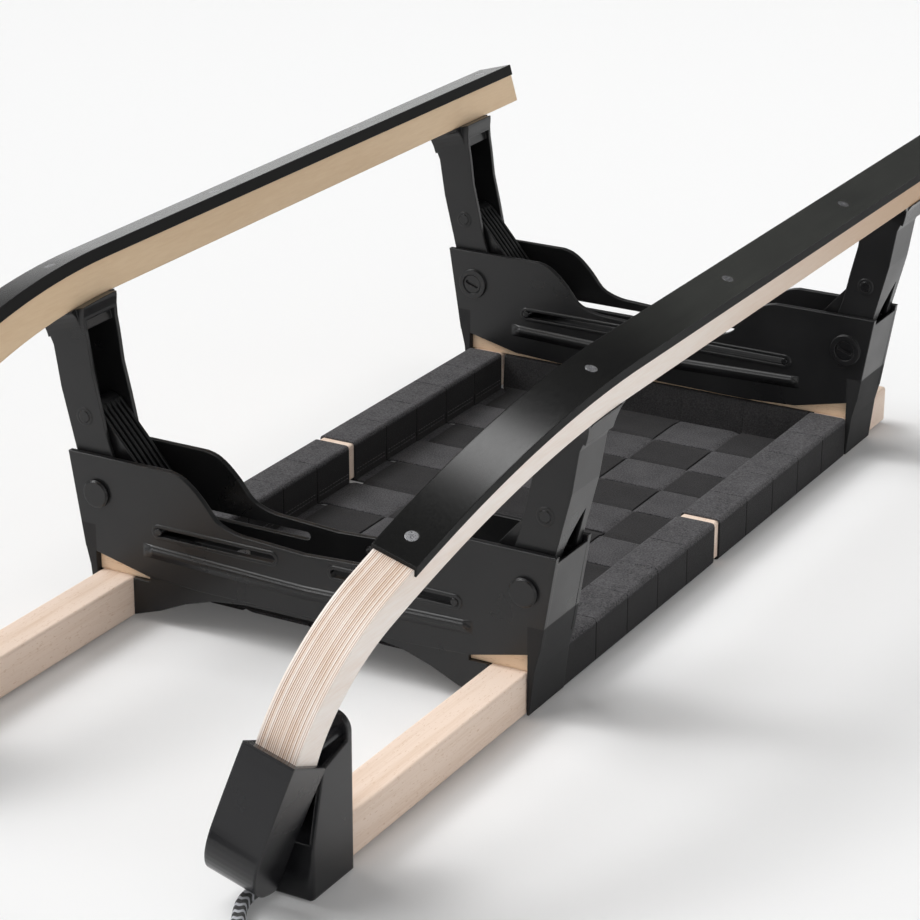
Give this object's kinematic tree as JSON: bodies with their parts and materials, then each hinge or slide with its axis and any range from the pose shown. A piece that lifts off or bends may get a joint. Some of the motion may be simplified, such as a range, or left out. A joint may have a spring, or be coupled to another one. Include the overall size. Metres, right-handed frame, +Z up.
{
  "type": "folding sled",
  "caption": "Folding sled with wooden bow-fronted runners on hinged legs, black cross beams and a woven webbing seat, shown seat side down.",
  "frame": {"origin": "on the ground under the middle of the sled's box as it lies seat side down, without the pull rope", "axes": "X across, -Y towards the nose, +Z up from the seat side towards the soles; turned 180 degrees about Y it stands ready for use"},
  "size_m": [0.4174, 1.0347, 0.2354],
  "materials": {
    "wood": "clear satin lacquer",
    "black_plastic": "fine satin",
    "sole_plastic": "satin",
    "webbing": "woven",
    "steel": "zinc plated",
    "rope": "braided"
  },
  "bodies": {
    "frame": {"rail_right": "wood", "rail_left": "wood", "crossbar_front": "wood", "crossbar_rear": "wood", "beam_front": "black_plastic", "beam_rear": "black_plastic", "rail_screws": "steel", "beam_screws": "steel", "pivot_pins_front": "black_plastic", "pivot_pins_rear": "black_plastic", "nose_seat_right": "black_plastic", "nose_seat_left": "black_plastic", "nose_pins": "steel", "straps_cross": "webbing", "straps_long": "webbing", "rope_right": "rope", "rope_left": "rope", "rope_hank": "rope", "rope_tie": "rope"},
    "runner_right": {"runner_right": "wood", "sole_right": "sole_plastic", "sole_screws_right": "steel", "leg_front_right": "black_plastic", "leg_rear_right": "black_plastic", "leg_pins_right": "black_plastic", "nose_cap_right": "black_plastic"},
    "runner_left": {"runner_left": "wood", "sole_left": "sole_plastic", "sole_screws_left": "steel", "leg_front_left": "black_plastic", "leg_rear_left": "black_plastic", "leg_pins_left": "black_plastic", "nose_cap_left": "black_plastic"},
    "strut_front_right": {"strut_front_right": "black_plastic"},
    "slot_pin_front_right": {"slot_pin_front_right": "black_plastic"},
    "strut_rear_right": {"strut_rear_right": "black_plastic"},
    "slot_pin_rear_right": {"slot_pin_rear_right": "black_plastic"},
    "strut_front_left": {"strut_front_left": "black_plastic"},
    "slot_pin_front_left": {"slot_pin_front_left": "black_plastic"},
    "strut_rear_left": {"strut_rear_left": "black_plastic"},
    "slot_pin_rear_left": {"slot_pin_rear_left": "black_plastic"}
  },
  "joints": [
    {"name": "fold_right", "type": "hinge", "parent": "frame", "child": "runner_right", "pos_m": [0.1575, 0, 0.084], "axis": [0, -1, 0], "range_deg": [0, 90]},
    {"name": "fold_left", "type": "hinge", "parent": "frame", "child": "runner_left", "pos_m": [-0.1575, 0, 0.084], "axis": [0, 1, 0], "range_deg": [0, 90]},
    {"name": "swing_front_right", "type": "hinge", "parent": "runner_right", "child": "strut_front_right", "pos_m": [0.1685, -0.1312, 0.1336], "axis": [0, 1, 0], "range_deg": [0, 120.2]},
    {"name": "slide_front_right", "type": "slide", "parent": "frame", "child": "slot_pin_front_right", "axis": [-1, 0, 0], "range_m": [0, 0.0863]},
    {"name": "swing_rear_right", "type": "hinge", "parent": "runner_right", "child": "strut_rear_right", "pos_m": [0.1685, 0.3698, 0.1336], "axis": [0, 1, 0], "range_deg": [0, 120.2]},
    {"name": "slide_rear_right", "type": "slide", "parent": "frame", "child": "slot_pin_rear_right", "axis": [-1, 0, 0], "range_m": [0, 0.0863]},
    {"name": "swing_front_left", "type": "hinge", "parent": "runner_left", "child": "strut_front_left", "pos_m": [-0.1685, -0.1312, 0.1336], "axis": [0, -1, 0], "range_deg": [0, 120.2]},
    {"name": "slide_front_left", "type": "slide", "parent": "frame", "child": "slot_pin_front_left", "axis": [1, 0, 0], "range_m": [0, 0.0863]},
    {"name": "swing_rear_left", "type": "hinge", "parent": "runner_left", "child": "strut_rear_left", "pos_m": [-0.1685, 0.3698, 0.1336], "axis": [0, -1, 0], "range_deg": [0, 120.2]},
    {"name": "slide_rear_left", "type": "slide", "parent": "frame", "child": "slot_pin_rear_left", "axis": [1, 0, 0], "range_m": [0, 0.0863]}
  ],
  "couplings": [
    {"joint": "swing_front_right", "follows": "fold_right", "ratio": 1.3352},
    {"joint": "slide_front_right", "follows": "fold_right", "m_per_rad": 0.054904},
    {"joint": "swing_rear_right", "follows": "fold_right", "ratio": 1.3352},
    {"joint": "slide_rear_right", "follows": "fold_right", "m_per_rad": 0.054904},
    {"joint": "swing_front_left", "follows": "fold_left", "ratio": 1.3352},
    {"joint": "slide_front_left", "follows": "fold_left", "m_per_rad": 0.054904},
    {"joint": "swing_rear_left", "follows": "fold_left", "ratio": 1.3352},
    {"joint": "slide_rear_left", "follows": "fold_left", "m_per_rad": 0.054904}
  ]
}
